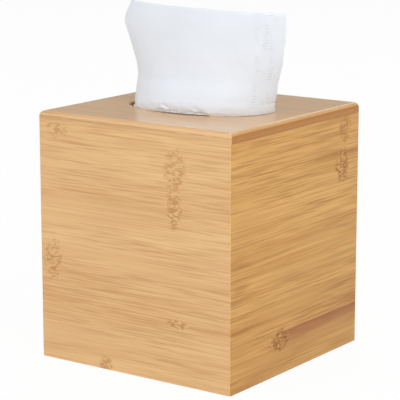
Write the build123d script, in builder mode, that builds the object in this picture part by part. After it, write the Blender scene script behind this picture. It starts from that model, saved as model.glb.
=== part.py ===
from build123d import *
from collections import namedtuple
from math import cos, hypot, pi, radians, sin
import os

# A slip-over bamboo cover for a cube-shaped carton of tissues. Four side boards with mitred corners
# carry a top board with an oval opening. The cover has no bottom: it is lowered over the carton,
# which stands on the table inside it, and a tissue is drawn up through both openings.
# The origin is the middle of the footprint, on the table. X runs along the front board, Y to the back.
# All sizes are in millimetres.

os.makedirs("parts", exist_ok=True)

# The carton that the cover is made for
carton_width = 110.0
carton_depth = 110.0
carton_height = 127.0
card_thickness = 0.5
carton_fold_radius = 0.8
carton_mouth_length = 80.0
carton_mouth_width = 50.0
flap_seam = 1.2

# The cover's boards, and the room that they leave round the carton
side_room = 5.0
head_room = 11.0
wall_thickness = 6.0
top_thickness = 6.0
corner_round = 1.0
top_round = 3.0

# The oval opening in the top board
opening_length = 91.0
opening_width = 60.0
opening_round = 1.5
opening_ease = 0.5

# The film glued under the carton's mouth, and its slit
film_thickness = 0.15
film_border = 10.0
slit_length = 78.0
slit_spread = 9.0

# The folded tissues in the carton
stack_side_gap = 1.5
stack_top_gap = 2.0
stack_shoulder = 38.0
stack_slit = 1.0

# The tissue that stands in the opening
tissue_thickness = 0.5
tissue_rise = 58.0
tissue_gap = 0.1
tissue_seat = 0.1
slit_grip = 4.0
slit_bow = 1.25
gather_count = 3
gather_depth = 1.0
fold_points = 17

# Sizes that follow
inner_width = carton_width + 2 * side_room
inner_depth = carton_depth + 2 * side_room
cover_width = inner_width + 2 * wall_thickness
cover_depth = inner_depth + 2 * wall_thickness
wall_height = carton_height + head_room
cover_height = wall_height + top_thickness
film_top = carton_height - card_thickness
film_bottom = film_top - film_thickness
stack_bottom = 2 * card_thickness
stack_top = film_bottom - stack_top_gap


def side_board(length, distance, turn):
    """A wall board as long as the cover's outside, mitred at both ends, on the side that turn points to."""
    with BuildPart() as board:
        with BuildSketch(Plane.XY.rotated((0, 0, turn))):
            with BuildLine():
                Polyline(
                    (-length / 2, -distance / 2),
                    (length / 2, -distance / 2),
                    (length / 2 - wall_thickness, -distance / 2 + wall_thickness),
                    (-length / 2 + wall_thickness, -distance / 2 + wall_thickness),
                    close=True,
                )
            make_face()
            RectangleRounded(length, distance, corner_round, mode=Mode.INTERSECT)
        extrude(amount=wall_height)
    return board


front_panel = side_board(cover_width, cover_depth, 0)
right_panel = side_board(cover_depth, cover_width, 90)
back_panel = side_board(cover_width, cover_depth, 180)
left_panel = side_board(cover_depth, cover_width, 270)


def oval(length, width):
    """An oval of four tangent arcs, laid out as a draughtsman draws an ellipse with compasses."""
    diagonal = hypot(length, width)
    end_radius = diagonal * (diagonal - length + width) / (4 * length)
    side_radius = diagonal * (diagonal + length - width) / (4 * width)
    share = side_radius / (side_radius - end_radius)
    join_x = (length / 2 - end_radius) * share
    join_y = (side_radius - width / 2) * (share - 1)
    with BuildSketch(mode=Mode.PRIVATE) as outline:
        with BuildLine():
            ThreePointArc((-join_x, -join_y), (0, -width / 2), (join_x, -join_y))
            ThreePointArc((join_x, -join_y), (length / 2, 0), (join_x, join_y))
            ThreePointArc((join_x, join_y), (0, width / 2), (-join_x, join_y))
            ThreePointArc((-join_x, join_y), (-length / 2, 0), (-join_x, -join_y))
        make_face()
    return outline.sketch


# The top board covers the ends of the walls, so its end grain shows on the left and right sides.
with BuildPart() as top_panel:
    with BuildSketch(Plane.XY.offset(wall_height)):
        RectangleRounded(cover_width, cover_depth, corner_round)
        add(oval(opening_length, opening_width), mode=Mode.SUBTRACT)
    extrude(amount=top_thickness)
    upper_face = top_panel.faces().sort_by(Axis.Z)[-1]
    fillet(upper_face.inner_wires()[0].edges(), opening_round)
    lower_face = top_panel.faces().sort_by(Axis.Z)[0]
    chamfer(lower_face.inner_wires()[0].edges(), opening_ease)
    upper_face = top_panel.faces().sort_by(Axis.Z)[-1]
    fillet(upper_face.outer_wire().edges(), top_round)

# The carton is one folded piece: walls and top of one thickness, a floor of two, where the inner flaps
# lie on the outer ones, and the seam between the outer flaps shows as a groove from below.
with BuildPart() as carton:
    with BuildSketch():
        RectangleRounded(carton_width, carton_depth, carton_fold_radius)
    extrude(amount=carton_height)
    with BuildSketch(Plane.XY.offset(stack_bottom)):
        Rectangle(carton_width - 2 * card_thickness, carton_depth - 2 * card_thickness)
    extrude(amount=film_top - stack_bottom, mode=Mode.SUBTRACT)
    with BuildSketch(Plane.XY.offset(film_top)):
        add(oval(carton_mouth_length, carton_mouth_width))
    extrude(amount=card_thickness, mode=Mode.SUBTRACT)
    with BuildSketch():
        Rectangle(carton_width, flap_seam)
    extrude(amount=card_thickness, mode=Mode.SUBTRACT)

# The film closes the carton's mouth. The tissue holds its slit open in the shape of an eye.
with BuildPart() as film_window:
    with BuildSketch(Plane.XY.offset(film_bottom)):
        Rectangle(carton_mouth_length + 2 * film_border, carton_mouth_width + 2 * film_border)
        with BuildLine():
            ThreePointArc((-slit_length / 2, 0), (0, -slit_spread / 2), (slit_length / 2, 0))
            ThreePointArc((slit_length / 2, 0), (0, slit_spread / 2), (-slit_length / 2, 0))
        make_face(mode=Mode.SUBTRACT)
    extrude(amount=film_thickness)

# The tissues are folded into one long clip, which is bent over in the middle to stand in the carton,
# so the clip has two legs and round shoulders.
stack_length = carton_width - 2 * card_thickness - 2 * stack_side_gap
stack_depth = carton_depth - 2 * card_thickness - 2 * stack_side_gap
stack_leg = (stack_depth - stack_slit) / 2
with BuildPart() as tissue_stack:
    with BuildSketch(Plane.YZ.offset(-stack_length / 2)):
        with Locations((0, (stack_bottom + stack_top) / 2)):
            Rectangle(stack_depth, stack_top - stack_bottom)
        with Locations((0, stack_bottom)):
            Rectangle(stack_slit, stack_top - stack_leg - stack_bottom, align=(Align.CENTER, Align.MIN),
                      mode=Mode.SUBTRACT)
    extrude(amount=stack_length)
    shoulders = tissue_stack.edges().filter_by(Axis.X).group_by(Axis.Z)[-1]
    fillet(shoulders, stack_shoulder)

# The tissue is one sheet, drawn up through the slit, fanned out against the opening's front rim and
# flatter towards its free upper edge. Each fold line is its course at one height: an arc that runs from its
# left end round its front to its right end, by angles counted from the front. The slit gathers it.
Fold = namedtuple("Fold", "height left right front middle left_turn right_turn gather")


def course(fold, inset):
    """Points along a fold line, or along the line that lies further in by the inset."""
    points = []
    for number in range(fold_points):
        u = 2 * number / (fold_points - 1) - 1
        turn = radians(fold.left_turn if u < 0 else fold.right_turn) * u
        reach = (fold.left if u < 0 else fold.right) - inset
        depth = fold.middle - fold.front - inset
        ripple = fold.gather * cos(pi * gather_count * u) * (1 - u * u)
        points.append((reach * sin(turn), fold.middle - depth * cos(turn) + ripple))
    return points


# Where the slit grips the sheet it stands nearly straight and gathered. At the rim it fills the front half
# of the oval. Between them it fans out by a share of the way.
slit_reach = slit_length / 2 - slit_grip
rim_reach = opening_length / 2 - tissue_gap
rim_front = -opening_width / 2 + tissue_gap
at_slit = (slit_reach, slit_reach, -slit_bow, slit_bow, 70, 70, gather_depth)
at_rim = (rim_reach, rim_reach, rim_front, 0, 74, 106, 0)
folds = []
for height, share in (
    (stack_top + tissue_seat, 0),
    (film_top, 0),
    (carton_height + 0.25 * head_room, 0.16),
    (carton_height + 0.6 * head_room, 0.43),
    (wall_height, 0.71),
    (wall_height + 0.5 * top_thickness, 0.9),
    (cover_height, 1),
):
    folds.append(Fold(height, *(a + (b - a) * share for a, b in zip(at_slit, at_rim))))

# Above the rim, how far up the fold lies and how far its left, right and front stand out from the rim's own
# are shares of the rise. Low down the sheet leans out over the rim on the right, then it draws in at the
# front and fans out at the sides, and its upper left corner curls back.
for up, left, right, front, middle, left_turn, right_turn in (
    (0.06, 0, 0.06, -0.02, 0, 74, 104),
    (0.15, -0.01, 0.08, 0.05, 0.035, 76, 98),
    (0.31, 0.02, 0.11, 0.165, 0.07, 76, 89),
    (0.62, 0.2, 0.24, 0.26, 0.12, 71, 74),
    (0.8, 0.285, 0.3, 0.3, 0.145, 72, 68),
    (1, 0.225, 0.39, 0.345, 0.17, 87, 60),
):
    folds.append(Fold(
        cover_height + up * tissue_rise,
        rim_reach + left * tissue_rise,
        rim_reach + right * tissue_rise,
        rim_front + front * tissue_rise,
        middle * tissue_rise,
        left_turn,
        right_turn,
        0,
    ))

with BuildPart() as tissue:
    for fold in folds:
        with BuildSketch(Plane.XY.offset(fold.height)):
            with BuildLine():
                outer_line = Spline(*course(fold, 0))
                inner_line = Spline(*course(fold, tissue_thickness))
                Line(outer_line @ 0, inner_line @ 0)
                Line(outer_line @ 1, inner_line @ 1)
            make_face()
    loft(ruled=True)

pieces = {
    "front_panel": front_panel,
    "right_panel": right_panel,
    "back_panel": back_panel,
    "left_panel": left_panel,
    "top_panel": top_panel,
    "carton": carton,
    "film_window": film_window,
    "tissue_stack": tissue_stack,
    "tissue": tissue,
}
for name, piece in pieces.items():
    piece.part.label = name
    export_step(piece.part, f"parts/{name}.step")
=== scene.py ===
# %% [markdown]
# # A bamboo cover for a carton of tissues
#
# The cover is a box without a bottom. It is glued together from five boards of laminated bamboo, and it
# is slipped over a carton of tissues. The boards, the carton, its film and the folded tissues come in as
# solids at their real size. This lesson gives them their finishes, and models the one piece that is soft:
# the tissue that stands in the opening.

# %% Load the solids
from collections import namedtuple
from math import cos, pi, radians, sin

import bmesh
import bpy
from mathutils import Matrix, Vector, noise


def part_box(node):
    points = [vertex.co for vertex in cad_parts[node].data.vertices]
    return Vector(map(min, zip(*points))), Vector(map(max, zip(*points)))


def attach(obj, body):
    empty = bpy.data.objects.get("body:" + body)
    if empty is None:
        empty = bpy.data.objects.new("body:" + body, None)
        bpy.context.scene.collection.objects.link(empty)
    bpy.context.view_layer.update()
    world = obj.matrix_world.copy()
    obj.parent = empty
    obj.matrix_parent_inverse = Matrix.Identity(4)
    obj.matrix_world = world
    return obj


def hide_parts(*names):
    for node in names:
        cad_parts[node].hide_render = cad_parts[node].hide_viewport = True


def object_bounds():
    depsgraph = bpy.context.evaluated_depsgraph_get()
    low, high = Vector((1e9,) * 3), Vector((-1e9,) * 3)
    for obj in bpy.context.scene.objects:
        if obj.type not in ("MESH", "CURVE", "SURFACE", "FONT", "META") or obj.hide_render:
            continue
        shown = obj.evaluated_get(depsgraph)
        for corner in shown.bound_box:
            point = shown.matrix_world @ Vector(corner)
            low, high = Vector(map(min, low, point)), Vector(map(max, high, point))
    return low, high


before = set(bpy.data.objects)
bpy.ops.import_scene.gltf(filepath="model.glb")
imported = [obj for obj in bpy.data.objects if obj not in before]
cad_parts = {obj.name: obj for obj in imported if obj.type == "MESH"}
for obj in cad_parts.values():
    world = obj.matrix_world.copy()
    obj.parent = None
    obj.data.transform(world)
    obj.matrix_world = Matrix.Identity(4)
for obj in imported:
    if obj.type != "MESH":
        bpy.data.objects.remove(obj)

cad_low, cad_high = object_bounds()
mm = 0.001
print("the solids fill", [round(side / mm, 1) for side in cad_high - cad_low], "mm")

# %% [markdown]
# ## Colours and nodes
#
# Colours are written as hex values, as a paint chart gives them, and Blender's sockets want linear
# values, so one function turns the one into the other. A second function adds a node, sets its
# properties, sets or links its inputs, and hands back the output that the next node needs. With it a
# material reads as a list of steps. A Mix node for colours has its share at input 0, its two colours at
# inputs 6 and 7 and its result at output 2, and in_colour says that once for all of them.

# %% Colours and nodes
in_colour = {"data_type": "RGBA", "take": 2}


def colour(code):
    """An sRGB hex colour as the linear colour that a socket wants."""
    shares = [int(code[place:place + 2], 16) / 255 for place in (0, 2, 4)]
    return [s / 12.92 if s <= 0.04045 else ((s + 0.055) / 1.055) ** 2.4 for s in shares] + [1.0]


def add(tree, kind, inputs=None, take=0, **settings):
    """Adds a node and returns one of its outputs. An input given as a socket is linked, any other is set."""
    node = tree.nodes.new("ShaderNode" + kind)
    for name, value in settings.items():
        setattr(node, name, value)
    for name, value in (inputs or {}).items():
        if isinstance(value, bpy.types.NodeSocket):
            tree.links.new(value, node.inputs[name])
        else:
            node.inputs[name].default_value = value
    return node.outputs[take]


def new_material(name):
    """A material with its node tree and its Principled shader."""
    material = bpy.data.materials.new(name)
    material.use_nodes = True
    return material, material.node_tree, material.node_tree.nodes["Principled BSDF"]


print("pale bamboo, E5BE86, is", [round(part, 3) for part in colour("E5BE86")[:3]], "in linear values")

# %% [markdown]
# ## The camera comes first
#
# A product is photographed from far away with a long lens, so that its upright edges stay nearly
# parallel. The camera stands a metre off, a little to the right of the cover's front and above its top,
# and looks at the middle of the cover and its tissue. Its lens and its sensor are given in millimetres,
# as on a real camera. A shifted lens would make the upright edges quite parallel, but the shift would
# stay in every other view, so the lens is a plain one.

# %% Camera
camera_place = Vector((0.5843, -0.8226, 0.3039))
camera_target = Vector((0.0007, -0.0024, 0.0894))
camera_lens = 160.2
sensor_width = 36.0
scene = bpy.context.scene


def facing(place, target):
    """The rotation that turns a camera or a lamp at a place towards its target."""
    return (target - place).to_track_quat("-Z", "Y").to_euler()


camera_data = bpy.data.cameras.new("camera")
camera_data.sensor_width = sensor_width
camera_data.lens = camera_lens
camera = bpy.data.objects.new("camera", camera_data)
scene.collection.objects.link(camera)
camera.location = camera_place
camera.rotation_euler = facing(camera_place, camera_target)
bpy.context.scene.camera = camera
print("the camera stands", round((camera_target - camera_place).length, 3), "m away")

# %% [markdown]
# ## Soft light and a white ground
#
# The world gives an even light from all sides. For the eye, and for what the lacquer mirrors, the world
# and the floor are plain white at a strength of 1. For the light that falls on the wood they stay at
# their own level, so the white ground adds no glare.

# %% World
ambient_level = 0.55
white = colour("FFFFFF")
scene.view_settings.view_transform = "Standard"


def seen_directly(tree):
    """1 for what the camera, a reflection or a clear film sees, and 0 for light that falls on things."""
    rays = add(tree, "LightPath").node.outputs
    mirrored = add(tree, "Math", {0: rays["Is Camera Ray"], 1: rays["Is Glossy Ray"]}, operation="MAXIMUM")
    return add(tree, "Math", {0: mirrored, 1: rays["Is Transmission Ray"]}, operation="MAXIMUM")


world = bpy.data.worlds.new("studio")
world.use_nodes = True
scene.world = world
tree = world.node_tree
background = tree.nodes["Background"]
level = add(tree, "MapRange", {
    "Value": seen_directly(tree), "To Min": ambient_level, "To Max": 1.0,
})
background.inputs["Color"].default_value = white
tree.links.new(level, background.inputs["Strength"])
print("the world gives", ambient_level, "of a plain white level")

# %% [markdown]
# Five wide, soft lamps stand round the cover. The strongest is a window on the left, which lights the
# front board. A weaker one in front and one on the right give the right board its darker tone. One behind
# lights the top board, and a faint one above softens the shadows. All of them are plain white, as a lamp
# is in Blender until it is given a colour.

# %% Lamps
Lamp = namedtuple("Lamp", "name place width watts")
lamps = (
    Lamp("window_left", (-0.95, -1.35, 0.95), 1.1, 8.8),
    Lamp("lamp_above", (0.15, -0.25, 1.6), 1.0, 0.3),
    Lamp("lamp_front", (1.1, -1.1, 0.9), 0.9, 4.0),
    Lamp("lamp_right", (0.62, -0.25, 0.68), 0.5, 2.5),
    Lamp("lamp_back", (-0.4, 1.1, 1.25), 1.0, 4.6),
)
lamp_target = Vector((0, 0, cad_high.z / 2))
for lamp in lamps:
    light = bpy.data.lights.new(lamp.name, "AREA")
    light.size = lamp.width
    light.energy = lamp.watts
    holder = bpy.data.objects.new(lamp.name, light)
    scene.collection.objects.link(holder)
    holder.location = lamp.place
    holder.rotation_euler = facing(Vector(lamp.place), lamp_target)
print("lamps:", ", ".join(lamp.name for lamp in lamps))

# %% [markdown]
# The ground is a wide round sheet of matt white paper. It glows as the world does, and keeps a part of
# its own shading, which is the soft shadow under the cover.

# %% Floor
floor_reach = 3.0
floor_glow = 0.95
round_steps = 96


def as_object(name, shape):
    """Makes an object of a bmesh and puts it into the scene."""
    data = bpy.data.meshes.new(name)
    shape.to_mesh(data)
    shape.free()
    made = bpy.data.objects.new(name, data)
    scene.collection.objects.link(made)
    return made


floor_shape = bmesh.new()
bmesh.ops.create_circle(floor_shape, cap_ends=True, segments=round_steps, radius=floor_reach)
floor = as_object("floor", floor_shape)

floor_material, tree, shader = new_material("matt_white_paper_ground")
shader.inputs["Base Color"].default_value = colour("F4F4F4")
shader.inputs["Roughness"].default_value = 1.0
shader.inputs["Specular IOR Level"].default_value = 0.0
glow = add(tree, "Emission", {"Color": white, "Strength": 1.0})
share = add(tree, "Math", {0: seen_directly(tree), 1: floor_glow}, operation="MULTIPLY")
mixed = add(tree, "MixShader", {0: share, 1: shader.outputs["BSDF"], 2: glow})
tree.links.new(mixed, tree.nodes["Material Output"].inputs["Surface"])
floor.data.materials.append(floor_material)
print("the floor reaches", floor_reach, "m each way")

# %% [markdown]
# The top board is seen at a flat angle, so its lacquer mirrors what stands behind the cover. In a studio
# that is a room a good deal darker than the white paper, and so the tissue's soft reflection shows in the
# wood. A grey wall round the table stands for that room. Only reflections see it: the camera sees the
# white ground, and the wall throws no shadow and no light.

# %% Grey wall
wall_distance = 2.6
wall_rise = 2.6
wall_grey = 0.36

wall_shape = bmesh.new()
bmesh.ops.create_cone(
    wall_shape,
    cap_ends=False,
    segments=round_steps,
    radius1=wall_distance,
    radius2=wall_distance,
    depth=wall_rise,
)
bmesh.ops.translate(wall_shape, verts=wall_shape.verts, vec=(0, 0, wall_rise / 2))
wall = as_object("grey_wall", wall_shape)
wall.visible_camera = False
wall.visible_diffuse = False
wall.visible_transmission = False
wall.visible_shadow = False

wall_material, tree, shader = new_material("dim_studio_room")
dim = add(tree, "Emission", {"Color": white, "Strength": wall_grey})
tree.links.new(dim, tree.nodes["Material Output"].inputs["Surface"])
wall.data.materials.append(wall_material)
print("reflections see a wall at", wall_grey, "of white")

# %% [markdown]
# ## Laminated bamboo
#
# Bamboo board is made of strips about 20 mm wide, sawn from the stem, planed and glued edge to edge.
# Each strip comes from another stem, so its tone differs a little. Inside a strip run the fibre
# bundles, as short dark and light dashes along the grain, and where the stem had a knot there is a band
# a few millimetres wide in which the fibres are kinked and browner. The board is sanded and gets a thin
# clear satin lacquer.
#
# A picture of a board could be laid on the solids, but it would repeat and not end at the glue lines, so
# the wood is drawn from noise at real sizes.
#
# All of it is drawn in the board's own directions: along the grain, across the board, and up. The strips
# are counted upwards from the first glue line. A strip's number, put into a White Noise node, gives each
# strip its own tone and moves its fibres along, so that they end at the glue line.

# %% Boards and their strips
glue_line = 0.3 * mm
glue_strength = 0.12
Board = namedtuple("Board", "node turn strip start seed marks streak pale main dark knot")


def strips(tree, board, level):
    """How far up its strip a place lies, from 0 to 1, and the chance number of that strip."""
    raised = add(tree, "Math", {0: level, 1: board.start * mm}, operation="SUBTRACT")
    counted = add(tree, "Math", {0: raised, 1: board.strip * mm}, operation="DIVIDE")
    number = add(tree, "Math", {0: counted}, operation="FLOOR")
    in_strip = add(tree, "Math", {0: counted, 1: number}, operation="SUBTRACT")
    numbered = add(tree, "Math", {0: number, 1: board.seed}, operation="ADD")
    chance = add(tree, "TexWhiteNoise", {"W": numbered}, noise_dimensions="1D")
    return in_strip, chance


def glued(tree, board, in_strip, surface):
    """The dark glue line between two strips."""
    centred = add(tree, "Math", {0: in_strip, 1: 0.5}, operation="SUBTRACT")
    off_centre = add(tree, "Math", {0: centred}, operation="ABSOLUTE")
    line = add(tree, "MapRange", {
        "Value": off_centre,
        "From Min": 0.5 - glue_line / (board.strip * mm),
        "From Max": 0.5,
        "To Max": glue_strength,
    })
    return add(tree, "Mix", {0: line, 6: surface, 7: colour(board.knot)}, **in_colour)


print("a glue line is", round(glue_line / mm, 1), "mm wide")

# %% [markdown]
# Noise that is stretched a hundredfold along the grain makes the fibres. Wide bands, fine straight fibres
# and the strip's own tone are added up, and a colour ramp turns the sum into a dark, a middle or a pale
# tone. A warm blush lies on it here and there.

# %% Ground tone
band_length = 110 * mm
band_width = 9 * mm
band_share = 0.31
fibre_length = 130 * mm
fibre_width = 1.0 * mm
fibre_share = 0.39
strip_share = 0.28
blush_length = 55 * mm
blush_width = 8 * mm
blush_strength = 0.5


def grain(tree, place, length, width, detail=1.0, roughness=0.5, distortion=0.0):
    """Noise drawn out along the grain. Its features are about that long and that wide."""
    scale = (1 / length, 1 / width, 1 / width)
    drawn_out = add(tree, "VectorMath", {0: place, 1: scale}, operation="MULTIPLY")
    return add(tree, "TexNoise", {
        "Vector": drawn_out,
        "Scale": 1.0,
        "Detail": detail,
        "Roughness": roughness,
        "Distortion": distortion,
    })


def ground(tree, board, place, chance):
    """The board's ground tone: bands, fibres, a tone for each strip, and a blush."""
    bands = grain(tree, place, band_length, band_width, detail=2.0)
    bands = add(tree, "MapRange", {"Value": bands, "From Min": 0.3, "From Max": 0.7})
    fibres = grain(tree, place, fibre_length, fibre_width)
    fibres = add(tree, "MapRange", {"Value": fibres, "From Min": 0.32, "From Max": 0.68})
    tone = add(tree, "Math", {0: bands, 1: band_share}, operation="MULTIPLY")
    tone = add(tree, "Math", {0: fibres, 1: fibre_share, 2: tone}, operation="MULTIPLY_ADD")
    tone = add(tree, "Math", {0: chance, 1: strip_share, 2: tone}, operation="MULTIPLY_ADD")
    ramp = add(tree, "ValToRGB", {0: tone}).node
    ramp.color_ramp.elements[0].position = 0.1
    ramp.color_ramp.elements[0].color = colour(board.dark)
    ramp.color_ramp.elements[1].position = 0.9
    ramp.color_ramp.elements[1].color = colour(board.pale)
    ramp.color_ramp.elements.new(0.5).color = colour(board.main)

    blush = grain(tree, place, blush_length, blush_width, distortion=0.4)
    blush = add(tree, "MapRange", {
        "Value": blush, "From Min": 0.54, "From Max": 0.75, "To Max": blush_strength,
    })
    return add(tree, "Mix", {0: blush, 6: ramp.outputs["Color"], 7: colour(board.dark)}, **in_colour)


print("a fibre's noise is drawn out", round(fibre_length / fibre_width), "times along the grain")

# %% [markdown]
# The fibre bundles are thin dark threads with pale ones between them. The low values of one noise are the
# dark threads and its high values the pale ones, so that they never lie on each other. A second noise
# says where there are many of them and where few.

# %% Fibre bundles
thread_length = 26 * mm
thread_width = 0.7 * mm
dark_thread_strength = 0.27
pale_thread_strength = 0.45
zone_length = 90 * mm
zone_width = 12 * mm


def threaded(tree, board, place, surface):
    """Draws the fibre bundles, and also returns their noise, which the relief needs."""
    zones = grain(tree, place, zone_length, zone_width)
    zones = add(tree, "MapRange", {"Value": zones, "From Min": 0.28, "From Max": 0.52})
    threads = grain(tree, place, thread_length, thread_width)
    dark = add(tree, "MapRange", {
        "Value": threads, "From Min": 0.46, "From Max": 0.38, "To Max": dark_thread_strength,
    })
    pale = add(tree, "MapRange", {
        "Value": threads, "From Min": 0.54, "From Max": 0.62, "To Max": pale_thread_strength,
    })
    for share, tone in ((dark, board.knot), (pale, board.pale)):
        shown = add(tree, "Math", {0: share, 1: zones}, operation="MULTIPLY")
        surface = add(tree, "Mix", {0: shown, 6: surface, 7: colour(tone)}, **in_colour)
    return surface, threads


print("a bundle is about", round(thread_length / mm), "mm long")

# %% [markdown]
# A knot is a patch of brown in which the fibres are kinked into small dark and light crinkles. The board
# is sanded flat, so a knot is drawn as colour alone and has no relief. Its middle, its half length along
# the grain and its half height across it are given in millimetres, and a coarse noise frays its edge.

# %% Knots
kink_length = 3.2 * mm
kink_width = 1.3 * mm
fray_length = 9 * mm
fray_width = 6 * mm
fray_strength = 1.8
knot_tint = 0.8
crinkle_strength = 0.62
glint_strength = 0.55
Mark = namedtuple("Mark", "along level half_length half_height depth")


def patch(tree, along, level, mark, ragged):
    """The mark's depth in its middle and 0 outside it. Ragged is the noise that frays its edge."""
    flat = add(tree, "CombineXYZ", {"X": along, "Y": level})
    middle = (mark.along * mm, mark.level * mm, 0)
    offset = add(tree, "VectorMath", {0: flat, 1: middle}, operation="SUBTRACT")
    size = (1 / (mark.half_length * mm), 1 / (mark.half_height * mm), 1)
    shaped = add(tree, "VectorMath", {0: offset, 1: size}, operation="MULTIPLY")
    distance = add(tree, "VectorMath", {0: shaped}, take="Value", operation="LENGTH")
    frayed = add(tree, "Math", {0: ragged, 1: fray_strength, 2: distance}, operation="MULTIPLY_ADD")
    # The noise adds about 0.9, so the edge, at a distance of 1, lies between these two values
    return add(tree, "MapRange", {
        "Value": frayed, "From Min": 2.1, "From Max": 1.65, "To Max": mark.depth,
    }, interpolation_type="SMOOTHSTEP")


def knotted(tree, board, place, along, level, surface):
    """Draws all the board's knots."""
    ragged = grain(tree, place, fray_length, fray_width, detail=2.0, roughness=0.7)
    knots = patch(tree, along, level, board.marks[0], ragged)
    for mark in board.marks[1:]:
        found = patch(tree, along, level, mark, ragged)
        knots = add(tree, "Math", {0: knots, 1: found}, operation="MAXIMUM")
    kinks = grain(tree, place, kink_length, kink_width, distortion=0.7)
    glints = add(tree, "MapRange", {
        "Value": kinks, "From Min": 0.53, "From Max": 0.61, "To Max": glint_strength,
    })
    crinkles = add(tree, "MapRange", {
        "Value": kinks, "From Min": 0.51, "From Max": 0.41, "To Max": crinkle_strength,
    })
    for share, tone in ((knot_tint, board.dark), (glints, board.pale), (crinkles, board.knot)):
        shown = add(tree, "Math", {0: knots, 1: share}, operation="MULTIPLY")
        surface = add(tree, "Mix", {0: shown, 6: surface, 7: colour(tone)}, **in_colour)
    return surface


print("a crinkle in a knot is about", round(kink_length / mm, 1), "mm long")

# %% [markdown]
# On one board the strip is redder from a knot on, most of all under its upper edge. Along the board the
# red begins softly, and above it ends at the glue line, within half a millimetre.

# %% Red strip
streak_tint = 0.78
streak_run_in = 6
streak_edge = 0.4
Streak = namedtuple("Streak", "start low high")


def streaked(tree, streak, along, level, surface):
    """Reddens the strip from the streak's start on, most of all at its upper edge."""
    begun = add(tree, "MapRange", {
        "Value": along,
        "From Min": streak.start * mm,
        "From Max": (streak.start + streak_run_in) * mm,
    }, interpolation_type="SMOOTHSTEP")
    deep = add(tree, "MapRange", {
        "Value": level, "From Min": streak.low * mm, "From Max": streak.high * mm, "To Max": streak_tint,
    }, interpolation_type="SMOOTHSTEP")
    below = add(tree, "MapRange", {
        "Value": level,
        "From Min": (streak.high + streak_edge) * mm,
        "From Max": streak.high * mm,
    })
    inside = add(tree, "Math", {0: begun, 1: below}, operation="MULTIPLY")
    reddened = add(tree, "Math", {0: inside, 1: deep}, operation="MULTIPLY")
    return add(tree, "Mix", {0: reddened, 6: surface, 7: colour("985212")}, **in_colour)


print("the red begins over", streak_run_in, "mm")

# %% [markdown]
# One function puts these steps together. A Mapping node turns the object's coordinates, so that one
# description serves all four walls. The board that lies on them has its strips side by side.
#
# Sanding leaves the wood matt, and the lacquer is a thin, smoother coat on it. To the eye that gives soft
# mirrored light at flat angles and hardly any gloss straight on.

# %% Bamboo and its lacquer


def bamboo(board, lying=False):
    """Laminated bamboo without its lacquer."""
    material, tree, shader = new_material(board.node + "_bamboo")
    coordinates = add(tree, "TexCoord", take="Object")
    turned = add(tree, "Mapping", {"Vector": coordinates, "Rotation": (0, 0, radians(-board.turn))})
    along, across, up = add(tree, "SeparateXYZ", {0: turned}).node.outputs
    level = across if lying else up
    in_strip, chance = strips(tree, board, level)
    moved = add(tree, "Math", {0: chance, 1: along}, operation="ADD")
    place = add(tree, "CombineXYZ", {"X": moved, "Y": across, "Z": up})

    surface = ground(tree, board, place, chance)
    surface, threads = threaded(tree, board, place, surface)
    surface = glued(tree, board, in_strip, surface)
    if board.streak:
        surface = streaked(tree, board.streak, along, level, surface)
    if board.marks:
        surface = knotted(tree, board, place, along, level, surface)
    return material, tree, shader, surface, threads


def lacquered(material, tree, shader, surface, threads, coat=0.6):
    """Closes a bamboo material with its satin lacquer, which follows the fibres a little."""
    relief = add(tree, "Bump", {"Height": threads, "Strength": 0.12, "Distance": 0.08 * mm})
    tree.links.new(surface, shader.inputs["Base Color"])
    tree.links.new(relief, shader.inputs["Normal"])
    shader.inputs["Roughness"].default_value = 0.6
    shader.inputs["Specular IOR Level"].default_value = 0.15
    shader.inputs["Coat Weight"].default_value = coat
    shader.inputs["Coat Roughness"].default_value = 0.2
    shader.inputs["Coat IOR"].default_value = 1.48
    return material


def dress(node, material):
    """Gives a solid its one finish."""
    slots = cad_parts[node].data.materials
    slots.clear()
    slots.append(material)
    print(node, "is", material.name)


# %% [markdown]
# ## The five boards
#
# The front board is the palest, and the right one is a warmer brown. Each has a few knots, at the places
# where the stems had them. The places are in millimetres along the board, counted from its middle, and
# up from its lower edge. The two boards at the back are of the same kind, with knots of their own.
#
# A row gives the board's node and turn, the width of its strips and the height of the first glue line,
# the number that its chance starts from, its knots and its streak, and its four tones.

# %% Walls
boards = (
    Board("front_panel", 0, 20.6, 7.0, 3, (
        Mark(-53, 134.5, 7, 4.5, 0.6), Mark(29.5, 120, 8, 10.5, 0.65), Mark(28.5, 99.5, 5, 10.5, 0.85),
        Mark(-57, 59, 6.5, 10.5, 0.8), Mark(-20, 3, 5.5, 4.5, 0.7), Mark(31, 34.4, 6.5, 2.3, 1.0),
    ), None, "E5BE86", "DAAD77", "CF9E66", "A87434"),
    Board("right_panel", 90, 19.0, 5.2, 11, (
        Mark(50, 131, 6, 7.5, 0.6), Mark(47.5, 108.5, 6.5, 10, 0.85), Mark(-18, 19.6, 8.5, 5.5, 1.0),
    ), Streak(-19, 10.5, 24.2), "DFAB60", "CA964B", "B07420", "7E4206"),
    Board("back_panel", 180, 20.2, 3.0, 23, (
        Mark(18, 74, 5, 10, 0.7), Mark(-40, 33, 5, 10, 0.6), Mark(-8, 114, 5, 10, 0.8),
    ), None, "E4B87C", "DAA96C", "CC985A", "AE7038"),
    Board("left_panel", 270, 19.6, 9.0, 31, (
        Mark(-31, 97, 5, 10, 0.8), Mark(36, 58, 5, 10, 0.6), Mark(5, 19, 5, 10, 0.7),
    ), None, "E4B87C", "DAA96C", "CC985A", "AE7038"),
)
for board in boards:
    dress(board.node, lacquered(*bamboo(board)))

# %% [markdown]
# The top board is the same wood, a little duller, and lies with its strips side by side. It has no knots
# that show.

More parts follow.
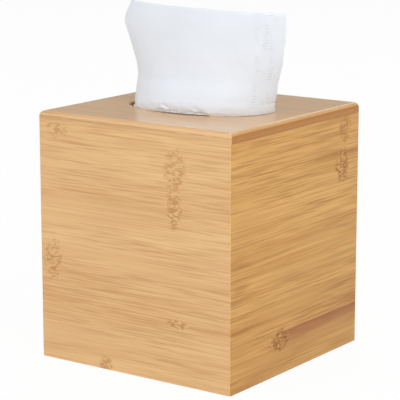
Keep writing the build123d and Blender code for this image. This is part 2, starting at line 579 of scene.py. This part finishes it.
# %% Top board
top_low, top_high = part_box("top_panel")
top_board = Board("top_panel", 0, 20.4, 4.0, 47, (), None, "DBB07A", "D3A66E", "CA9B62", "B37F48")
material, tree, shader, surface, threads = bamboo(top_board, lying=True)
coordinates = add(tree, "TexCoord", take="Object")
print("the top board is", round((top_high.z - top_low.z) / mm, 1), "mm thick")

# %% [markdown]
# Its ends show on the left and right as end grain: the cut fibre bundles are small dots in a browner
# ground. The long and the end grain could be two materials, but they run into each other in the rounded
# edge. So the object's normal tells how far the surface faces left or right, and the end grain begins low
# in the rounding.

# %% End grain
bundle_width = 0.7 * mm
end_grain_start = 0.86

normal = add(tree, "TexCoord", take="Normal")
sideways = add(tree, "SeparateXYZ", {0: normal}).node.outputs["X"]
facing_end = add(tree, "Math", {0: sideways}, operation="ABSOLUTE")
cut_end = add(tree, "MapRange", {
    "Value": facing_end, "From Min": end_grain_start, "From Max": 1.0,
}, interpolation_type="SMOOTHSTEP")
bundles = add(tree, "TexNoise", {"Vector": coordinates, "Scale": 1 / bundle_width, "Detail": 2.0})
bundles = add(tree, "MapRange", {"Value": bundles, "From Min": 0.35, "From Max": 0.65})
end_grain = add(tree, "Mix", {0: bundles, 6: colour("AA6A0A"), 7: colour("B67616")}, **in_colour)
surface = add(tree, "Mix", {0: cut_end, 6: surface, 7: end_grain}, **in_colour)
print("the dots of the end grain are about", round(bundle_width / mm, 1), "mm wide")

# %% [markdown]
# Below the rounding, where it meets the flat face, a fine dark line of painted shade is drawn, broken here
# and there, and at the foot of the end grain the joint with the wall is a little darker. Both are drawn
# as colour, with no relief, at heights counted from the solid's own box. The lacquer on this board is at
# full strength, because the tissue's soft reflection shows in it.

# %% Painted shade line and joint
round_over = 3 * mm
edge_shade_width = 0.4 * mm
edge_shade_gap = 9 * mm
edge_shade_strength = 0.5
joint_line = 1.3 * mm
joint_strength = 0.3

height = add(tree, "SeparateXYZ", {0: coordinates}).node.outputs["Z"]
# The fine dark line under the rounding is painted shade, broken here and there by a noise
above_line = add(tree, "Math", {0: height, 1: top_high.z - round_over}, operation="SUBTRACT")
off_line = add(tree, "Math", {0: above_line}, operation="ABSOLUTE")
line = add(tree, "MapRange", {
    "Value": off_line, "From Min": edge_shade_width, "From Max": 0.0, "To Max": edge_shade_strength,
})
kept = add(tree, "TexNoise", {"Vector": coordinates, "Scale": 1 / edge_shade_gap, "Detail": 2.0})
kept = add(tree, "MapRange", {"Value": kept, "From Min": 0.3, "From Max": 0.52})
line = add(tree, "Math", {0: line, 1: kept}, operation="MULTIPLY")
surface = add(tree, "Mix", {0: line, 6: surface, 7: colour("9A6234")}, **in_colour)

above_joint = add(tree, "Math", {0: height, 1: top_low.z}, operation="SUBTRACT")
joint = add(tree, "MapRange", {
    "Value": above_joint, "From Min": joint_line, "From Max": 0.0, "To Max": joint_strength,
}, interpolation_type="SMOOTHSTEP")
joint = add(tree, "Math", {0: joint, 1: cut_end}, operation="MULTIPLY")
surface = add(tree, "Mix", {0: joint, 6: surface, 7: colour("7A4A1C")}, **in_colour)

dress("top_panel", lacquered(material, tree, shader, surface, threads, coat=1.0))

# %% [markdown]
# ## Carton, film and folded tissues
#
# They show through the opening and from below. The carton is folding board with a matt white coating, a
# little grey, with a faint cloudiness and a fine tooth.

# %% Carton
cloud_width = 12 * mm
tooth_width = 0.6 * mm

carton_material, tree, shader = new_material("coated_folding_board")
place = add(tree, "TexCoord", take="Object")
clouds = add(tree, "TexNoise", {"Vector": place, "Scale": 1 / cloud_width, "Detail": 4.0})
shade = add(tree, "Mix", {0: clouds, 6: colour("DEDCD6"), 7: colour("F0EFEB")}, **in_colour)
tooth = add(tree, "TexNoise", {"Vector": place, "Scale": 1 / tooth_width, "Detail": 2.0})
relief = add(tree, "Bump", {"Height": tooth, "Strength": 0.15, "Distance": 0.05 * mm})
tree.links.new(shade, shader.inputs["Base Color"])
tree.links.new(relief, shader.inputs["Normal"])
shader.inputs["Roughness"].default_value = 0.7
dress("carton", carton_material)

# %% [markdown]
# The film is blown polyethylene, thin and milky. It is smoother than the card, with soft ripples, and
# what lies under it shows through.

# %% Film
ripple_width = 9 * mm

film_material, tree, shader = new_material("milky_polyethylene_film")
place = add(tree, "TexCoord", take="Object")
ripples = add(tree, "TexNoise", {
    "Vector": place, "Scale": 1 / ripple_width, "Detail": 3.0, "Distortion": 0.6,
})
haze = add(tree, "Mix", {0: ripples, 6: colour("E4E7E9"), 7: colour("F3F5F6")}, **in_colour)
relief = add(tree, "Bump", {"Height": ripples, "Strength": 0.4, "Distance": 0.6 * mm})
tree.links.new(haze, shader.inputs["Base Color"])
tree.links.new(relief, shader.inputs["Normal"])
shader.inputs["Roughness"].default_value = 0.3
shader.inputs["Alpha"].default_value = 0.5
dress("film_window", film_material)

# %% [markdown]
# The folded tissues are hundreds of thin layers, whose edges make fine lines. The darker half of each line
# is painted shade in the gap between two layers. The layers are drawn thicker than they are, because the
# real ones are too thin to show. A slow noise bends them.

# %% Folded tissues
layer_height = 1.1 * mm
layer_bend = 4 * mm
bend_width = 25 * mm

stack_material, tree, shader = new_material("folded_tissue_paper")
place = add(tree, "TexCoord", take="Object")
height = add(tree, "SeparateXYZ", {0: place}).node.outputs["Z"]
bend = add(tree, "TexNoise", {"Vector": place, "Scale": 1 / bend_width, "Detail": 2.0})
lifted = add(tree, "Math", {0: bend, 1: layer_bend, 2: height}, operation="MULTIPLY_ADD")
phase = add(tree, "Math", {0: lifted, 1: 2 * pi / layer_height}, operation="MULTIPLY")
layers = add(tree, "Math", {0: phase}, operation="SINE")
# The dark half of each line is painted shade in the gap between two layers
depth = add(tree, "MapRange", {"Value": layers, "From Min": -1.0, "From Max": 1.0})
shade = add(tree, "Mix", {0: depth, 6: colour("D9DADD"), 7: colour("EEEFF2")}, **in_colour)
relief = add(tree, "Bump", {"Height": layers, "Strength": 0.5, "Distance": 0.2 * mm})
tree.links.new(shade, shader.inputs["Base Color"])
tree.links.new(relief, shader.inputs["Normal"])
shader.inputs["Roughness"].default_value = 0.95
dress("tissue_stack", stack_material)

# %% [markdown]
# ## The tissue
#
# The tissue is one soft sheet of two plies that the hand has pulled up through the film's slit. The slit
# gathers it, it opens out against the front of the oval, and above the rim it stands like a fan. A cloth
# simulation would let it fall, because only its own folds hold it up, so the sheet is shaped by fold
# lines instead. Each fold line is its course at one height: an arc from the left edge round the front to
# the right edge. A smooth curve through the fold lines gives its course at any height.
#
# The heights of the rim, the film and the seat are read from the solids, so that the sheet stands where
# it has to. From the slit to the rim the sheet opens by a share of the way, and these heights are in
# millimetres.

# %% Fold lines up to the rim
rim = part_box("top_panel")[1].z / mm
seat, tip = (corner.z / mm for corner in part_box("tissue"))
film_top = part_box("film_window")[1].z / mm
rise = tip - rim
slit_reach = 35.0
slit_bow = 1.25
left_reach = 43.3
right_reach = 44.3
rim_front = -29.9
Fold = namedtuple("Fold", "height left right front middle left_turn right_turn")

at_slit = (slit_reach, slit_reach, -slit_bow, slit_bow, 70, 70)
at_rim = (left_reach, right_reach, rim_front, 0, 74, 106)
folds = []
for height, share in (
    (seat, 0),
    (film_top, 0),
    (film_top + 3.3, 0.16),
    (rim - 10.4, 0.43),
    (rim - 6, 0.71),
    (rim - 3, 0.9),
    (rim - 1.4, 1),
):
    folds.append(Fold(height, *(a + (b - a) * share for a, b in zip(at_slit, at_rim))))
print("the tissue stands", round(rise, 1), "mm over the rim")

# %% [markdown]
# The sheet leans out over the rounded rim. Further up it draws in at the front and fans out at the sides,
# and its upper left corner curls back. Each row gives how far up the fold line lies and how far its left,
# its right and its front stand out from the rim's, all as shares of the rise, so that a taller tissue
# keeps its form. The last two numbers are the degrees that the arc turns to the left and to the right.

# %% Fold lines over the rim
for up, left, right, front, middle, left_turn, right_turn in (
    (-0.009, -0.03, 0.018, -0.004, 0, 74, 105),
    (-0.002, -0.03, 0.029, -0.015, 0, 74, 105),
    (0.001, -0.03, 0.042, -0.027, 0, 74, 105),
    (0.05, -0.03, 0.046, -0.02, 0, 74, 104),
    (0.15, -0.005, 0.06, 0.045, 0.035, 76, 98),
    (0.31, 0.03, 0.1, 0.155, 0.07, 76, 89),
    (0.62, 0.21, 0.23, 0.26, 0.12, 71, 74),
    (0.8, 0.295, 0.29, 0.3, 0.145, 72, 68),
    (1, 0.215, 0.36, 0.345, 0.17, 87, 60),
):
    folds.append(Fold(
        rim + up * rise,
        left_reach + left * rise,
        right_reach + right * rise,
        rim_front + front * rise,
        middle * rise,
        left_turn,
        right_turn,
    ))
print("the sheet has", len(folds), "fold lines")

# %% [markdown]
# Straight lines from fold line to fold line would show as creases all round. A cubic curve takes its
# slope at each fold line from the two neighbours, and so it runs through without a kink.

# %% Between the fold lines


def fold_slope(number):
    """How fast each value of a fold line changes with height, from its neighbours."""
    low, high = folds[max(number - 1, 0)], folds[min(number + 1, len(folds) - 1)]
    return [(b - a) / (high.height - low.height) for a, b in zip(low, high)]


def fold_at(height):
    """The fold line at any height, on a smooth curve through the fold lines."""
    upper = next((n for n in range(1, len(folds)) if folds[n].height > height), len(folds) - 1)
    low, high = folds[upper - 1], folds[upper]
    span = high.height - low.height
    t = (height - low.height) / span
    return Fold(*(
        a + (b - a) * t * t * (3 - 2 * t) + span * t * (1 - t) * (slope_a * (1 - t) - slope_b * t)
        for a, b, slope_a, slope_b in zip(low, high, fold_slope(upper - 1), fold_slope(upper))
    ))


print("at half its rise the sheet's left edge reaches", round(fold_at(rim + rise / 2).left, 1), "mm")

# %% [markdown]
# The fold lines give the sheet's main form. A place on it is given by its height and by u, which runs
# from -1 at the left edge over 0 at the front to 1 at the right edge. Left of the front the sheet lies
# closer to the rim than a plain arc does. That goes by u, and by the millimetres up or down to the rim.

# %% Main form
hug = 3.0
hug_rows = (2, 8)
hug_columns = (0, 0.2, 0.48, 0.68)


def ramp_between(value, start, end):
    """0 at the start, 1 at the end, and smooth in between."""
    t = min(max((value - start) / (end - start), 0), 1)
    return t * t * (3 - 2 * t)


def swell(value, start, full, fading, end):
    """0 up to the start, 1 from full to fading, and 0 again from the end on."""
    return ramp_between(value, start, full) * (1 - ramp_between(value, fading, end))


def on_sheet(u, height):
    """A place on the sheet's main form, in millimetres."""
    fold = fold_at(height)
    turn = radians(fold.left_turn if u < 0 else fold.right_turn) * u
    reach = fold.left if u < 0 else fold.right
    reach += hug * (1 - ramp_between(abs(height - rim), *hug_rows)) * swell(-u, *hug_columns)
    depth = fold.middle - fold.front
    return Vector((reach * sin(turn), fold.middle - depth * cos(turn), height))


print("at the rim the sheet's front is at", round(on_sheet(0, rim).y, 1), "mm")

# %% [markdown]
# Paper is never a clean surface, so a second function says how far each point stands out from the main
# form. In the slit that is the gathers, and towards the upper edge soft waves. On the left the sheet is
# tucked in behind the rim, with small crumples, and a slanting fold ends the tuck. Right of it the sheet
# swells over the rim, and a short crease runs in from the right edge.
#
# Each of these has its columns, by u, and its rows, as shares of the rise over the rim. The gathers' rows
# alone are in millimetres.

# %% Folds and crumples
gathers = 7
gather_depth = 1.5
gather_rows = (film_top + 2, rim - 0.5)
gather_drift = 0.8
wave_depth = 1.6
wave_rows = (0.05, 0.5)
tuck_depth = 1.0
tuck_foot = 0.29
tuck_slant = 1.0
tuck_edge = (tuck_foot - 0.015, tuck_foot + 0.025)
tuck_columns = (-0.3, 0.0)
tuck_rows = (-0.05, -0.015, -0.01, 0.11)
swell_depth = 1.6
swell_columns = (-0.5, -0.1, 0.35, 0.7)
swell_rows = (-0.03, 0.09, 0.11, 0.48)
crumple_depth = 2.2
crumple_rows = (0.0, 0.02, 0.05, 0.13)
crumple_crest = 0.3
fine_crumples = 0.5
stray_crumples = 0.12
crease_depth = 0.5
crease_columns = (0.65, 0.95)
crease_row = 0.095
crease_width = 0.022
crepe_depth = 0.12


def unevenness(u, above, across, up, seed):
    """Noise on the sheet, with that many waves to a unit. Each seed gives other waves."""
    return noise.noise(Vector((across * u, up * above, seed)))


def standing_out(u, height):
    """How far the sheet stands out from its main form, in millimetres."""
    above = (height - rim) / rise
    # The drift makes the gathers uneven, and they run out at both edges
    gathered = (1 - ramp_between(height, *gather_rows)) * (1 - u * u)
    out = gather_depth * gathered * cos(pi * gathers * u + gather_drift * sin(5 * u))
    out += wave_depth * ramp_between(above, *wave_rows) * unevenness(u, above, 2.2, 0.7, 3.1)

    left_of_fold = 1 - ramp_between(u + tuck_slant * above, *tuck_edge)
    left_of_fold *= ramp_between(u, *tuck_columns)
    out -= tuck_depth * left_of_fold * swell(above, *tuck_rows)
    out += swell_depth * swell(above, *swell_rows) * swell(u, *swell_columns)

    # Where a noise passes through 0, its absolute value turns sharply, and that is a crumple's crest
    crumple = crumple_crest - abs(unevenness(u, above, 15, 20, 8.4))
    crumple -= fine_crumples * abs(unevenness(u, above, 27, 30, 1.7))
    crumpled = stray_crumples + (1 - stray_crumples) * left_of_fold
    out += crumple_depth * swell(above, *crumple_rows) * crumple * crumpled

    creased = 1 - ramp_between(abs(above - crease_row), 0, crease_width)
    out -= crease_depth * ramp_between(u, *crease_columns) * creased
    out += crepe_depth * unevenness(u, above, 14, 10, 5.2)
    return out


print("over the rim's middle the sheet stands", round(standing_out(0, rim + 2), 2), "mm out")

# %% [markdown]
# Two short steps on the main form, one along the fold line and one up, give the direction that points
# out of the sheet. The sheet stands out along it, and the second ply lies a little further in. A slow
# noise makes the side edges waver.

# %% Points of the finished sheet
edge_waver = 0.014
step_u = 0.002
step_height = 0.05


def sheet_place(u, height, inset):
    """A point of the finished sheet, in millimetres. The second ply is inset behind the first."""
    u *= 1 + edge_waver * noise.noise(Vector((0.3, 0.3 * height, 6.6)))
    across = on_sheet(u + step_u, height) - on_sheet(u - step_u, height)
    upwards = on_sheet(u, height + step_height) - on_sheet(u, height - step_height)
    outwards = across.cross(upwards).normalized()
    return on_sheet(u, height) + outwards * (standing_out(u, height) - inset)


print("half up, the sheet's front is at", round(sheet_place(0, rim + rise / 2, 0).y, 1), "mm")

# %% [markdown]
# The plies are two grids, one behind the other, whose points are moved to their places on the sheet. Their
# rows crowd together at the rim, where the sheet bends most. At the upper right the front ply ends a
# little lower than the one behind it, as plies do that have slipped past each other. The grid's own flat
# coordinates are kept as a UV map first, because they say where each point lies on the flat paper. A
# Solidify modifier gives each ply its thickness, inwards.

# %% Two plies
columns = 160
rows = 190
row_crowding = 1.6
rim_row = 2 * (rim - seat) / (tip - seat) - 1
ply_thickness = 0.18 * mm
ply_step = 0.4
slip = 1.3
slip_columns = (0.42, 0.55)
droop = 1.3
droop_columns = (-0.9, 0.9)
edge_ripple = 0.4
sheet_width = 112 * mm
sheet_height = 92 * mm


def ply(name, inset, slipped):
    """One ply of the tissue, from its seat in the carton to its upper edge."""
    grid = bmesh.new()
    bmesh.ops.create_grid(grid, x_segments=columns, y_segments=rows, size=1.0)
    for vert in grid.verts:
        side = 1 if vert.co.y > 0 else -1
        vert.co.y = rim_row + (side - rim_row) * abs(vert.co.y) ** row_crowding
    flat = grid.loops.layers.uv.new("paper")
    for face in grid.faces:
        face.smooth = True
        for loop in face.loops:
            loop[flat].uv = loop.vert.co.xy
    for vert in grid.verts:
        u, v = vert.co.xy
        edge = tip - edge_ripple * abs(noise.noise(Vector((4 * u, 0.5, 2.2))))
        edge -= droop * ramp_between(u, *droop_columns) + slipped * ramp_between(u, *slip_columns)
        vert.co = sheet_place(u, seat + (edge - seat) * (v + 1) / 2, inset) * mm
    sheet = as_object(name, grid)
    body = sheet.modifiers.new("thickness", "SOLIDIFY")
    body.thickness = ply_thickness
    body.offset = -1.0
    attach(sheet, "root")
    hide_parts("tissue")
    return sheet


plies = [ply("tissue_front_ply", 0.0, slip), ply("tissue_back_ply", ply_step, 0.0)]
for sheet in plies:
    print(sheet.name, "has", len(sheet.data.polygons), "faces")

# %% [markdown]
# ## Tissue paper
#
# Facial tissue is creped: it is scraped off its drying roll, which leaves fine ridges across the sheet.
# Its plies are pressed together by rows of short dashes near the edge. The fibres scatter the light, so
# the sheet has no gloss, a bluish white colour, and some light goes through it.
#
# The pattern follows the sheet, so the material reads the sheet's own UV map and turns it into sizes on
# the flat paper. One noise shakes the dashes sideways, and another leaves some of them out.

# %% Pressed dashes
dash_pitch = 1.9 * mm
dash_half_length = 1.3 * mm
dash_shake = 5 * mm
shake_width = 2.2 * mm
gap_width = 9 * mm
pressed_columns = (37.0 * mm, 41.5 * mm, 46.0 * mm, -47.0 * mm)

paper_material, tree, shader = new_material("creped_tissue_paper")
on_map = add(tree, "UVMap", uv_map="paper")
half_size = (sheet_width / 2, sheet_height / 2, 0)
on_paper = add(tree, "VectorMath", {0: on_map, 1: half_size}, operation="MULTIPLY")
across, up = add(tree, "SeparateXYZ", {0: on_paper}).node.outputs[:2]

shaken = add(tree, "TexNoise", {"Vector": on_paper, "Scale": 1 / shake_width, "Detail": 0.0})
leaning = add(tree, "Math", {0: shaken, 1: dash_shake, 2: across}, operation="MULTIPLY_ADD")
in_columns = 0.0
for column in pressed_columns:
    off_column = add(tree, "Math", {0: leaning, 1: column + dash_shake / 2}, operation="SUBTRACT")
    off_column = add(tree, "Math", {0: off_column}, operation="ABSOLUTE")
    near = add(tree, "MapRange", {
        "Value": off_column, "From Min": dash_half_length, "From Max": 0.6 * dash_half_length,
    })
    in_columns = add(tree, "Math", {0: in_columns, 1: near}, operation="MAXIMUM")
phase = add(tree, "Math", {0: up, 1: 2 * pi / dash_pitch}, operation="MULTIPLY")
beat = add(tree, "Math", {0: phase}, operation="SINE")
beat = add(tree, "MapRange", {"Value": beat, "From Min": 0.25, "From Max": 0.6})
kept = add(tree, "TexNoise", {"Vector": on_paper, "Scale": 1 / gap_width, "Detail": 1.0})
kept = add(tree, "MapRange", {"Value": kept, "From Min": 0.46, "From Max": 0.54})
pressed = add(tree, "Math", {0: in_columns, 1: beat}, operation="MULTIPLY")
pressed = add(tree, "Math", {0: pressed, 1: kept}, operation="MULTIPLY")
print(len(pressed_columns), "columns of dashes, one dash to", round(dash_pitch / mm, 1), "mm")

# %% [markdown]
# The paper's colour has a soft cloudiness, and the dashes are a little darker: that is painted shade in
# their pressed-in hollows. Its relief is the crepe's ridges, with the dashes pressed in. The crepe is drawn
# three times as coarse as it is, because its real ridges are too fine to show.

# %% Colour and relief of the paper
shade_width = 16 * mm
crepe_pitch = 0.7 * mm
crepe_length = 3.5 * mm
crepe_height = 0.35
dash_painted_shade = 0.6

clouds = add(tree, "TexNoise", {"Vector": on_paper, "Scale": 1 / shade_width, "Detail": 2.0})
shade = add(tree, "Mix", {0: clouds, 6: colour("E6EBF2"), 7: colour("EEF3FA")}, **in_colour)
# The dashes' darker colour is painted shade in their pressed-in hollows
darker = add(tree, "Math", {0: pressed, 1: dash_painted_shade}, operation="MULTIPLY")
shade = add(tree, "Mix", {0: darker, 6: shade, 7: colour("D6D9DF")}, **in_colour)

crepe = grain(tree, on_paper, crepe_length, crepe_pitch, detail=2.0)
ridges = add(tree, "Math", {0: crepe, 1: crepe_height}, operation="MULTIPLY")
surface = add(tree, "Math", {0: ridges, 1: pressed}, operation="SUBTRACT")
relief = add(tree, "Bump", {"Height": surface, "Strength": 0.5, "Distance": 0.2 * mm})

tree.links.new(shade, shader.inputs["Base Color"])
tree.links.new(relief, shader.inputs["Normal"])
shader.inputs["Roughness"].default_value = 0.95
shader.inputs["Specular IOR Level"].default_value = 0.2
shader.inputs["Subsurface Weight"].default_value = 0.15
shader.inputs["Subsurface Radius"].default_value = (1.0, 1.0, 1.0)
shader.inputs["Subsurface Scale"].default_value = 3 * mm
for sheet in plies:
    sheet.data.materials.append(paper_material)
print(paper_material.name, "is on both plies")
